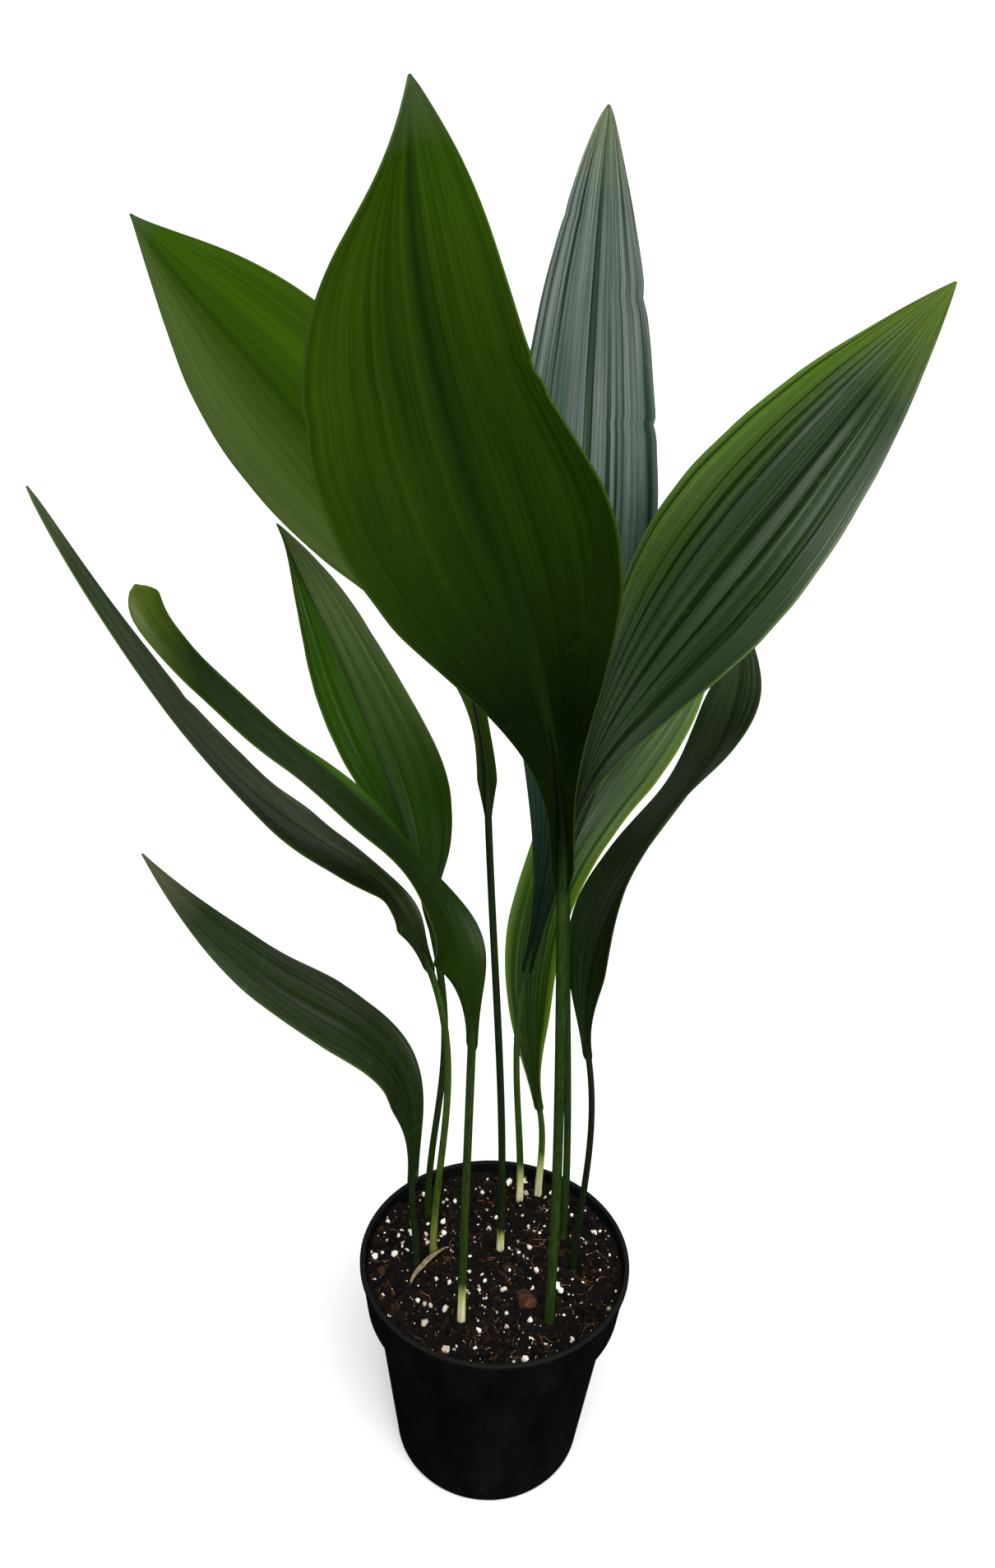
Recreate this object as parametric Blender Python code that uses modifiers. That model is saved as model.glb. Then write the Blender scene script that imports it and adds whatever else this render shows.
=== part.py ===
"""A potted cast iron plant: ten leaves on long stalks, rising from creeping rhizomes in a nursery pot of soil.

Metres, +Z up. The pot stands on z = 0 with its axis on the Z axis, and its front faces -Y.
Each leaf is a blade and a stalk. A leaf's spine is one cubic curve, given by its base, two handles and its tip.
"""

from math import cos, exp, pi, radians, sin

import bmesh
import bpy
from mathutils import Vector, noise

MM = 0.001

# Nursery pot, in millimetres.
RIM_RADIUS = 75.0
RIM_HEIGHT = 137.0
LIP_HEIGHT = 3.5
COLLAR_HEIGHT = 30.0
COLLAR_FOOT_RADIUS = 71.0
BODY_TOP_RADIUS = 65.7
BASE_RADIUS = 53.0
WALL = 1.6
FLOOR = 2.0
DRAIN_RADIUS = 4.5
DRAIN_CIRCLE = 38.0
DRAIN_COUNT = 8
TURN_STEPS = 48

# Soil and rhizomes, in millimetres.
GAP = 0.35
SOIL_TOP = 127.0
SOIL_BUMP = 1.2
RHIZOME_HEIGHT = 113.0
RHIZOME_RADIUS = 5.5
STALK_BOTTOM = RHIZOME_HEIGHT + 1.25 * RHIZOME_RADIUS + 2 * GAP

# Leaves, in millimetres and degrees.
BLADE_THICKNESS = 1.0
BLADE_COLUMNS = 6
BLADE_ROWS = 18
STALK_POINTS = 12
BASE_HALF_WIDTH = 2.2
TIP_HALF_WIDTH = 0.4

# foot: where the stalk leaves the soil. stalk: its radius at the soil and at the blade.
# peak, fullness and neck shape the outline: where it is widest, how full its sides are, and how long its base tapers.
# fold: how far each half is raised into a V. arch: how far the margins curl back from it.
# faces: where the upper side looks at the base, the middle and the tip, as azimuth and elevation.
LEAVES = {
    "front": {
        "foot": (30, -36), "stalk": (2.6, 2.2),
        "spine": ((18, -86, 436), (12, -97, 556), (-45, -124, 610), (-36, -198, 709)),
        "width": 112, "peak": 0.87, "fullness": 0.87, "neck": 0.37, "fold": -8, "arch": 0.23,
        "faces": ((89, 12), (75, -20), (-105, 60)), "green": (0.060, 0.150, 0.020),
    },
    "rear": {
        "foot": (14, 54), "stalk": (2.1, 1.6),
        "spine": ((11, 59, 288), (38, 70, 440), (22, 89, 581), (29, 135, 710)),
        "width": 83, "peak": 0.86, "fullness": 0.75, "neck": 0.31, "fold": 6, "arch": 0.10,
        "faces": ((-86, 10), (-86, 10), (-64, 19)), "green": (0.070, 0.130, 0.070),
    },
    "right": {
        "foot": (39, 25), "stalk": (2.3, 1.8),
        "spine": ((26, 8, 377), (21, 6, 479), (101, 22, 567), (171, 40, 649)),
        "width": 96, "peak": 0.95, "fullness": 0.94, "neck": 0.26, "fold": 0, "arch": 0.13,
        "faces": ((173, 25), (-128, 42), (-88, 51)), "green": (0.050, 0.130, 0.030),
    },
    "left": {
        "foot": (3, 14), "stalk": (2.1, 1.7),
        "spine": ((-14, -2, 432), (-20, 6, 528), (-115, 15, 605), (-168, 40, 662)),
        "width": 96, "peak": 1.20, "fullness": 1.16, "neck": 0.30, "fold": 6, "arch": 0.10,
        "faces": ((83, 25), (84, 24), (97, 25)), "green": (0.080, 0.190, 0.025),
    },
    "left_inner": {
        "foot": (-40, 40), "stalk": (2.1, 1.8),
        "spine": ((-38, -3, 352), (-59, 9, 441), (-83, 27, 476), (-114, 44, 535)),
        "width": 56, "peak": 0.80, "fullness": 0.85, "neck": 0.10, "fold": 45, "arch": 0.0,
        "faces": ((-17, 17), (-114, 19), (-75, 88)), "green": (0.090, 0.200, 0.030),
    },
    "left_outer": {
        "foot": (-35, 9), "stalk": (2.0, 1.7),
        "spine": ((-38, -18, 339), (-70, -34, 449), (-90, -54, 371), (-185, -66, 576)),
        "width": 59, "peak": 0.88, "fullness": 0.65, "neck": 0.20, "fold": 7, "arch": 0.08,
        "faces": ((-130, 60), (90, 85), (-100, 88)), "green": (0.040, 0.080, 0.030),
    },
    "left_middle": {
        "foot": (-17, -37), "stalk": (2.1, 2.0),
        "spine": ((-16, -60, 327), (-15, -74, 456), (-112, -105, 491), (-132, -122, 559)),
        "width": 62, "peak": 0.81, "fullness": 0.65, "neck": 0.22, "fold": 4, "arch": 0.10,
        "faces": ((-113, 59), (93, 75), (-126, 64)), "green": (0.070, 0.150, 0.025),
    },
    "left_low": {
        "foot": (-44, 2), "stalk": (1.9, 1.6),
        "spine": ((-45, -20, 206), (-39, -27, 342), (-88, -47, 296), (-156, -65, 423)),
        "width": 58, "peak": 0.80, "fullness": 1.04, "neck": 0.24, "fold": 6, "arch": 0.09,
        "faces": ((-59, 46), (103, 67), (-92, 53)), "green": (0.040, 0.085, 0.035),
    },
    "right_low": {
        "foot": (44, 0), "stalk": (1.9, 1.6),
        "spine": ((43, 2, 275), (20, 20, 397), (138, 36, 415), (93, 49, 511)),
        "width": 55, "peak": 0.77, "fullness": 0.99, "neck": 0.12, "fold": 20, "arch": 0.08,
        "faces": ((-129, 27), (117, 0), (-90, 42)), "green": (0.020, 0.050, 0.015),
    },
    "rear_low": {
        "foot": (25, 58), "stalk": (2.2, 1.7),
        "spine": ((23, 64, 187), (-9, 79, 326), (48, 97, 385), (99, 117, 456)),
        "width": 74, "peak": 0.92, "fullness": 0.65, "neck": 0.18, "fold": 9, "arch": 0.08,
        "faces": ((-119, 42), (150, 18), (-80, 40)), "green": (0.120, 0.260, 0.030),
    },
}

# Points along each rhizome: x, y, height of its centre, and its radius as a share of the full one.
LEVEL = RHIZOME_HEIGHT
RHIZOMES = {
    "left_rhizome": (
        (-36, 49, LEVEL, 0.7), (-40, 40, LEVEL, 1.1), (-41, 24, LEVEL, 0.9), (-40, 6, LEVEL, 1.25),
        (-31, -18, LEVEL, 0.9), (-17, -37, LEVEL, 1.1), (-6, -46, LEVEL, 0.6),
    ),
    "middle_rhizome": (
        (20, -24, 124, 0.8), (13, -10, 120, 1.0), (7, 3, 115, 0.9), (3, 14, LEVEL, 1.1),
        (7, 34, LEVEL, 0.85), (13, 53, LEVEL, 0.9),
    ),
    "right_rhizome": (
        (20, -46, LEVEL, 0.6), (30, -36, LEVEL, 1.1), (40, -18, LEVEL, 0.85), (44, 0, LEVEL, 1.1),
        (44, 14, LEVEL, 0.85), (39, 27, LEVEL, 1.1), (34, 45, LEVEL, 0.8), (25, 57, LEVEL, 0.85),
    ),
}


def clear_scene():
    for thing in list(bpy.data.objects):
        bpy.data.objects.remove(thing, do_unlink=True)


def new_collection(name):
    collection = bpy.data.collections.new(name)
    bpy.context.scene.collection.children.link(collection)
    return collection


def material(name, colour, roughness):
    made = bpy.data.materials.new(name)
    made.use_nodes = True
    shader = made.node_tree.nodes["Principled BSDF"]
    shader.inputs["Base Color"].default_value = (*colour, 1.0)
    shader.inputs["Roughness"].default_value = roughness
    shader.inputs["Metallic"].default_value = 0.0
    return made


def add_part(name, data, colour, roughness, collection):
    """Links a mesh or a curve as one piece with a material of its own."""
    piece = bpy.data.objects.new(name, data)
    data.materials.append(material(name, colour, roughness))
    collection.objects.link(piece)
    return piece


def add_cutter(name, mesh, collection):
    cutter = bpy.data.objects.new(name, mesh)
    cutter.hide_render = True
    cutter.display_type = "WIRE"
    collection.objects.link(cutter)
    return cutter


def to_mesh(bm, name):
    mesh = bpy.data.meshes.new(name)
    bm.to_mesh(mesh)
    bm.free()
    return mesh


def turned(profile):
    """Spins a profile of (radius, height) points, in millimetres, once round the Z axis."""
    bm = bmesh.new()
    points = [bm.verts.new((radius * MM, 0, height * MM)) for radius, height in profile]
    lines = [bm.edges.new(pair) for pair in zip(points, points[1:])]
    bmesh.ops.spin(
        bm, geom=points + lines, axis=(0, 0, 1), cent=(0, 0, 0), angle=2 * pi, steps=TURN_STEPS, use_merge=True
    )
    bmesh.ops.remove_doubles(bm, verts=bm.verts, dist=1e-5)
    bmesh.ops.recalc_face_normals(bm, faces=bm.faces)
    return bm


def cylinders(places, name):
    """Upright cylinders from (x, y, radius, bottom, top), in millimetres, in one mesh."""
    bm = bmesh.new()
    for x, y, radius, bottom, top in places:
        made = bmesh.ops.create_cone(
            bm, cap_ends=True, segments=12, radius1=radius * MM, radius2=radius * MM, depth=(top - bottom) * MM
        )
        middle = Vector((x, y, (bottom + top) / 2)) * MM
        bmesh.ops.translate(bm, verts=made["verts"], vec=middle)
    return to_mesh(bm, name)


def tube(name, points, radii):
    """A round tube through the points, in millimetres, with a radius at each."""
    curve = bpy.data.curves.new(name, "CURVE")
    curve.dimensions = "3D"
    curve.bevel_depth = MM
    curve.bevel_resolution = 2
    curve.use_fill_caps = True
    spline = curve.splines.new("POLY")
    spline.points.add(len(points) - 1)
    for spot, point, radius in zip(spline.points, points, radii):
        spot.co = (*(Vector(point) * MM), 1)
        spot.radius = radius
    return curve


def tube_mesh(name, points, radii):
    """The same tube as a mesh, for a Boolean."""
    guide = bpy.data.objects.new(name, tube(name, points, radii))
    bpy.context.scene.collection.objects.link(guide)
    bpy.context.view_layer.update()
    mesh = bpy.data.meshes.new_from_object(guide.evaluated_get(bpy.context.evaluated_depsgraph_get()))
    bpy.data.objects.remove(guide, do_unlink=True)
    bm = bmesh.new()
    bm.from_mesh(mesh)
    bmesh.ops.remove_doubles(bm, verts=bm.verts, dist=1e-6)
    bmesh.ops.recalc_face_normals(bm, faces=bm.faces)
    bm.to_mesh(mesh)
    bm.free()
    return mesh


def cut(piece, cutter):
    modifier = piece.modifiers.new(cutter.name, "BOOLEAN")
    modifier.operation = "DIFFERENCE"
    modifier.solver = "EXACT"
    modifier.object = cutter


def cubic(points, t):
    """Point and direction of a cubic curve at t, from 0 to 1."""
    a, b, c, d = [Vector(point) for point in points]
    s = 1 - t
    place = a * s**3 + b * 3 * s * s * t + c * 3 * s * t * t + d * t**3
    heading = (b - a) * s * s + (c - b) * 2 * s * t + (d - c) * t * t
    return place, heading.normalized()


def looking(azimuth, elevation):
    flat = cos(radians(elevation))
    return Vector((flat * cos(radians(azimuth)), flat * sin(radians(azimuth)), sin(radians(elevation))))


def half_width(leaf, t):
    body = sin(pi * min(t**leaf["peak"], 1.0)) ** leaf["fullness"] if 0 < t < 1 else 0.0
    taper = 1 - exp(-((max(t, 1e-6) / leaf["neck"]) ** 1.5))
    return leaf["width"] / 2 * body * taper + BASE_HALF_WIDTH * (1 - t) ** 2 + TIP_HALF_WIDTH * t * t


def blade_point(leaf, across, t):
    """A point of the blade, in millimetres: across runs from -1 to 1, and t from the base to the tip."""
    place, heading = cubic(leaf["spine"], t)
    first, middle, last = [looking(*face) for face in leaf["faces"]]
    upward = first * (1 - t) ** 2 + middle * 2 * t * (1 - t) + last * t * t
    upward = (upward - heading * upward.dot(heading)).normalized()
    side = heading.cross(upward)
    reach = half_width(leaf, t)
    fold = radians(leaf["fold"])
    rise = abs(across) * sin(fold) - leaf["arch"] * across * across
    return place + side * (reach * across * cos(fold)) + upward * (reach * rise)


def blade(name, leaf, collection):
    bm = bmesh.new()
    bmesh.ops.create_grid(bm, x_segments=BLADE_COLUMNS, y_segments=BLADE_ROWS, size=1)
    for vert in bm.verts:
        vert.co = blade_point(leaf, vert.co.x, (vert.co.y + 1) / 2) * MM
    piece = add_part(name, to_mesh(bm, name), leaf["green"], 0.4, collection)
    skin = piece.modifiers.new("thickness", "SOLIDIFY")
    skin.thickness = BLADE_THICKNESS * MM
    skin.offset = 0
    return piece


def stalk_path(leaf):
    """Straight up through the soil, then one easy curve to the blade."""
    foot = Vector((*leaf["foot"], SOIL_TOP + 1))
    base, heading = cubic(leaf["spine"], 0)
    end = base - heading * 2 * GAP
    reach = (end - foot).length / 3
    handles = (foot, foot + Vector((0, 0, reach)), end - heading * reach, end)
    above = [cubic(handles, step / (STALK_POINTS - 2))[0] for step in range(STALK_POINTS - 1)]
    return [Vector((*leaf["foot"], STALK_BOTTOM)), *above]


def stalk(name, leaf, collection):
    bottom, top = leaf["stalk"]
    radii = [bottom + (top - bottom) * step / (STALK_POINTS - 1) for step in range(STALK_POINTS)]
    add_part(name, tube(name, stalk_path(leaf), radii), leaf["green"], 0.45, collection)


def pot_wall_radius(height):
    """Outer radius of the pot's body below the collar."""
    share = height / (RIM_HEIGHT - COLLAR_HEIGHT)
    return BASE_RADIUS + (BODY_TOP_RADIUS - BASE_RADIUS) * share


def collar_radius(height):
    """Outer radius of the collar."""
    share = (height - (RIM_HEIGHT - COLLAR_HEIGHT)) / (COLLAR_HEIGHT - LIP_HEIGHT)
    return COLLAR_FOOT_RADIUS + (RIM_RADIUS - 1 - COLLAR_FOOT_RADIUS) * share


def pot(collection, cutters):
    step = RIM_HEIGHT - COLLAR_HEIGHT
    under_lip = RIM_HEIGHT - LIP_HEIGHT
    profile = [
        (0, FLOOR),
        (BASE_RADIUS - WALL - 1.5, FLOOR),
        (pot_wall_radius(FLOOR + 2) - WALL, FLOOR + 2),
        (BODY_TOP_RADIUS - WALL, step - 2),
        (COLLAR_FOOT_RADIUS - WALL, step + WALL),
        (collar_radius(under_lip) - WALL, under_lip),
        (collar_radius(under_lip) - WALL, RIM_HEIGHT - 0.6),
        (RIM_RADIUS - 2, RIM_HEIGHT),
        (RIM_RADIUS - 0.8, RIM_HEIGHT),
        (RIM_RADIUS, RIM_HEIGHT - 0.8),
        (RIM_RADIUS, under_lip + 0.6),
        (collar_radius(under_lip), under_lip),
        (COLLAR_FOOT_RADIUS, step),
        (BODY_TOP_RADIUS + 1.2, step - 1.4),
        (BODY_TOP_RADIUS, step - 3),
        (pot_wall_radius(2), 2),
        (BASE_RADIUS - 2, 0),
        (0, 0),
    ]
    piece = add_part("pot", to_mesh(turned(profile), "pot"), (0.012, 0.013, 0.013), 0.55, collection)
    places = []
    for index in range(DRAIN_COUNT):
        turn = 2 * pi * index / DRAIN_COUNT
        places.append((DRAIN_CIRCLE * cos(turn), DRAIN_CIRCLE * sin(turn), DRAIN_RADIUS, -2, FLOOR + 2))
    cut(piece, add_cutter("drain_holes", cylinders(places, "drain_holes"), cutters))
    return piece


def soil(collection, cutters):
    step = RIM_HEIGHT - COLLAR_HEIGHT
    edge = collar_radius(SOIL_TOP) - WALL - GAP
    profile = [(0, SOIL_TOP)]
    profile += [(edge * ring / 7, SOIL_TOP) for ring in range(1, 7)]
    profile += [
        (edge, SOIL_TOP - 0.5),
        (COLLAR_FOOT_RADIUS - WALL - GAP, step + WALL + GAP),
        (BODY_TOP_RADIUS - WALL - GAP, step - 2 + GAP),
        (pot_wall_radius(FLOOR + 2) - WALL - GAP, FLOOR + 2),
        (BASE_RADIUS - WALL - 1.5 - GAP, FLOOR + GAP),
        (0, FLOOR + GAP),
    ]
    bm = turned(profile)
    for vert in bm.verts:
        if vert.co.z > (SOIL_TOP - 0.1) * MM:
            vert.co.z += SOIL_BUMP * MM * noise.noise(vert.co / (18 * MM))
    piece = add_part("soil", to_mesh(bm, "soil"), (0.030, 0.018, 0.010), 0.95, collection)

    holes = [
        (*leaf["foot"], leaf["stalk"][0] + 2 * GAP, RHIZOME_HEIGHT + 2, SOIL_TOP + 6) for leaf in LEAVES.values()
    ]
    cut(piece, add_cutter("stalk_holes", cylinders(holes, "stalk_holes"), cutters))
    for name, points in RHIZOMES.items():
        places = rhizome_path(points, extra=1.5 * GAP)
        radii = [RHIZOME_RADIUS * share + 1.5 * GAP for *_, share in points]
        radii = [radii[0]] + radii + [radii[-1]]
        cut(piece, add_cutter(name + "_tunnel", tube_mesh(name + "_tunnel", places, radii), cutters))


def rhizome_path(points, extra=0.0):
    """The rhizome's centre line, run on a little at each end."""
    line = [Vector(point[:3]) for point in points]
    before = line[0] + (line[0] - line[1]).normalized() * (2 + extra)
    after = line[-1] + (line[-1] - line[-2]).normalized() * (2 + extra)
    return [before, *line, after]


def rhizome(name, points, collection):
    radii = [RHIZOME_RADIUS * share for *_, share in points]
    radii = [radii[0] * 0.6] + radii + [radii[-1] * 0.6]
    add_part(name, tube(name, rhizome_path(points), radii), (0.090, 0.045, 0.022), 0.8, collection)


def main():
    clear_scene()
    parts = new_collection("potted_cast_iron_plant")
    cutters = new_collection("cutters")
    pot(parts, cutters)
    soil(parts, cutters)
    for name, points in RHIZOMES.items():
        rhizome(name, points, parts)
    for name, leaf in LEAVES.items():
        stalk(name + "_stalk", leaf, parts)
        blade(name + "_blade", leaf, parts)


main()
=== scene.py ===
# %% [markdown]
# # A potted cast iron plant
#
# A cast iron plant (Aspidistra) is a clump of leathery leaves, each on its own wiry stalk. The stalks rise from
# thick stems, called rhizomes, which creep just under the soil of a black nursery pot.
#
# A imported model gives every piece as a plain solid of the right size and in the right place. One way to finish
# it would be to paint those solids, but their faces are too large for pleats, a soft rim or crumbs of soil.
# So each solid is kept as a hidden frame, and a finely modelled piece stands in its place.

import random
from math import atan2, cos, exp, pi, radians, sin, sqrt

import bmesh
import bpy
from mathutils import Matrix, Vector, noise


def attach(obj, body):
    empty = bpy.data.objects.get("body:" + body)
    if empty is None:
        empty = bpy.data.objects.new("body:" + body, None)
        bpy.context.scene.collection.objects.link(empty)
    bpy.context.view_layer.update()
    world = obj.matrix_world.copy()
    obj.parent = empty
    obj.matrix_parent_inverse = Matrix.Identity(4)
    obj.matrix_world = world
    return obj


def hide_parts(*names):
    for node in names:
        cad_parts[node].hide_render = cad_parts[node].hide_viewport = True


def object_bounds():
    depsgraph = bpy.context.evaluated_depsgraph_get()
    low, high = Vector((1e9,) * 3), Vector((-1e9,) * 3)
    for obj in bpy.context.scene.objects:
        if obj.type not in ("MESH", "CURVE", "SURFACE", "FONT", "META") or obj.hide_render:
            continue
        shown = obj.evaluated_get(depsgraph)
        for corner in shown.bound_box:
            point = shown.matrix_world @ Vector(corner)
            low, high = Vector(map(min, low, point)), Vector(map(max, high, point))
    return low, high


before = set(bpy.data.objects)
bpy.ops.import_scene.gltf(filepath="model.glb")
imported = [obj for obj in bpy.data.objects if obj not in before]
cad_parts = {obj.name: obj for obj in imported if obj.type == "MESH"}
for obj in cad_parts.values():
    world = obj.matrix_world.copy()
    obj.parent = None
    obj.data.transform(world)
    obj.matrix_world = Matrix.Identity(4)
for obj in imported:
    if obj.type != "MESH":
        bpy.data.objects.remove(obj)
cad_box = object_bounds()
MM = 0.001

print("solids:", len(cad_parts))
print("whole plant, lowest and highest corner:", [[round(x, 4) for x in corner] for corner in cad_box])

# %% [markdown]
# ## Camera
#
# The plant is seen from a standing person's hand: close, level with the highest leaf, and looking down at the
# pot. A wide lens held that close makes the front leaf large and the pot small. The camera's own Z axis points
# backwards, so its turn about X is 90 degrees less the downward tilt, and a small turn about its Z is the roll.
# These numbers are not hand-picked: they are the rounded output of a least-squares fit, made by another program.

# %% Camera
CAMERA_PLACE = (-0.0092, -0.540, 0.699)
CAMERA_TILT = 26.5
CAMERA_ROLL = 2.33
CAMERA_LENS = 30.22

view = bpy.data.cameras.new("camera")
view.lens = CAMERA_LENS
view.sensor_width = 36
camera = bpy.data.objects.new("camera", view)
bpy.context.scene.collection.objects.link(camera)
bpy.context.scene.camera = camera
camera.matrix_world = (
    Matrix.Translation(CAMERA_PLACE)
    @ Matrix.Rotation(radians(90 - CAMERA_TILT), 4, "X")
    @ Matrix.Rotation(radians(CAMERA_ROLL), 4, "Z")
)
print("camera looks down", CAMERA_TILT, "degrees through a", CAMERA_LENS, "mm lens")

# %% [markdown]
# ## Colours and nodes
#
# Colours are written as they look on a screen, in sRGB hex. Blender's shaders work in linear light, so one
# function turns the hex value into linear numbers. Two more fill a node's inputs and add a node.

# %% Colour and node helpers
FACTOR, COLOUR_A, COLOUR_B, MIXED = 0, 6, 7, 2


def linear(hex_colour):
    """An sRGB hex colour as linear red, green, blue and alpha."""
    channels = [int(hex_colour[start : start + 2], 16) / 255 for start in (1, 3, 5)]
    return (*[c / 12.92 if c <= 0.04045 else ((c + 0.055) / 1.055) ** 2.4 for c in channels], 1.0)


def fill(tree, node, inputs):
    """Links each input that is given a socket, and sets any other value."""
    for name, value in inputs.items():
        if isinstance(value, bpy.types.NodeSocket):
            tree.links.new(value, node.inputs[name])
        else:
            node.inputs[name].default_value = value


def add_node(tree, kind, inputs=None, stops=(), **settings):
    """Adds a node, sets its settings and its colour stops, and fills its inputs."""
    node = tree.nodes.new("ShaderNode" + kind)
    for name, value in settings.items():
        setattr(node, name, value)
    fill(tree, node, inputs or {})
    for number, (position, colour) in enumerate(stops):
        ramp = node.color_ramp.elements
        stop = ramp[number] if number < len(ramp) else ramp.new(position)
        stop.position = position
        stop.color = linear(colour)
    return node


def new_skin(name, **values):
    """A material with its Principled shader's plain values set: roughness, specular level and so on."""
    skin = bpy.data.materials.new(name)
    skin.use_nodes = True
    shader = skin.node_tree.nodes["Principled BSDF"]
    fill(skin.node_tree, shader, {socket.replace("_", " "): value for socket, value in values.items()})
    return skin, skin.node_tree, shader


print("white turns into", linear("#ffffff"))

# %% [markdown]
# ## Studio
#
# Glossy leaves look like what they reflect, so a room of even white would turn every leaf grey. The room is
# dim overhead and white only in a low band all round. Three wide, soft lights far away do the rest: one high
# up, which whitens the floor and draws the long sheen on leaves that face up, and two low in front, like
# windows. The floor is one wide pale disc, so no wall stands in the way when the plant is looked at from another
# side, and it is left out of reflections, as a dark table would be. Looked at straight, the room is a plain white
# backdrop. Plain display colours keep the dark greens as deep as they are.

# %% Studio light and floor
FLOOR_RADIUS = 30.0
ROOM_GLOW = "#9c9c9c"
ROOM_STRENGTH = 1.05
FLOOR_DROP = 0.2 * MM
# Each light: azimuth and elevation it comes from, strength, and how wide it looks, in degrees.
SOFT_LIGHTS = {
    "skylight": (-95, 64, 2.8, 50),
    "window": (-75, 22, 1.4, 40),
    "side_window": (-35, 32, 1.3, 40),
}

scene = bpy.context.scene
scene.view_settings.view_transform = "Standard"
room = bpy.data.worlds.new("white_room")
room.use_nodes = True
direction = add_node(room.node_tree, "TexCoord").outputs["Generated"]
rise = add_node(room.node_tree, "SeparateXYZ", {"Vector": direction}).outputs["Z"]
half_rise = add_node(room.node_tree, "MapRange", {"Value": rise, "From Min": -1.0, "From Max": 1.0}).outputs[0]
bands = ((0.47, "#262626"), (0.62, ROOM_GLOW), (0.485, "#ffffff"), (0.56, "#ffffff"))
glow = add_node(room.node_tree, "ValToRGB", {"Fac": half_rise}, stops=bands)
straight = add_node(room.node_tree, "LightPath").outputs["Is Camera Ray"]
backdrop = {FACTOR: straight, COLOUR_A: glow.outputs[0], COLOUR_B: linear("#ffffff")}
seen = add_node(room.node_tree, "Mix", backdrop, data_type="RGBA").outputs[MIXED]
fill(room.node_tree, room.node_tree.nodes["Background"], {"Color": seen, "Strength": ROOM_STRENGTH})
scene.world = room


def looking(azimuth, elevation):
    """The direction with this azimuth, from +X towards +Y, and this elevation, in degrees."""
    flat = cos(radians(elevation))
    return Vector((flat * cos(radians(azimuth)), flat * sin(radians(azimuth)), sin(radians(elevation))))


def new_object(bm, name):
    """Turns a bmesh into an object in the scene."""
    mesh = bpy.data.meshes.new(name)
    bm.to_mesh(mesh)
    bm.free()
    made = bpy.data.objects.new(name, mesh)
    scene.collection.objects.link(made)
    return made


for name, (azimuth, elevation, strength, width) in SOFT_LIGHTS.items():
    lamp = bpy.data.lights.new(name, "SUN")
    lamp.energy = strength
    lamp.angle = radians(width)
    lamp_object = bpy.data.objects.new(name, lamp)
    scene.collection.objects.link(lamp_object)
    lamp_object.matrix_world = looking(azimuth, elevation).to_track_quat("Z", "Y").to_matrix().to_4x4()

paint = new_skin("matt_white_paint", Base_Color=linear("#f6f6f5"), Roughness=0.9, Specular_IOR_Level=0.0)[0]
floor_bm = bmesh.new()
bmesh.ops.create_circle(floor_bm, cap_ends=True, radius=FLOOR_RADIUS, segments=64)
bmesh.ops.translate(floor_bm, verts=floor_bm.verts, vec=(0, 0, cad_box[0][2] - FLOOR_DROP))
floor = new_object(floor_bm, "floor")
floor.data.materials.append(paint)
floor.visible_glossy = False
print("floor", 2 * FLOOR_RADIUS, "m across,", len(SOFT_LIGHTS), "soft lights")
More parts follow.
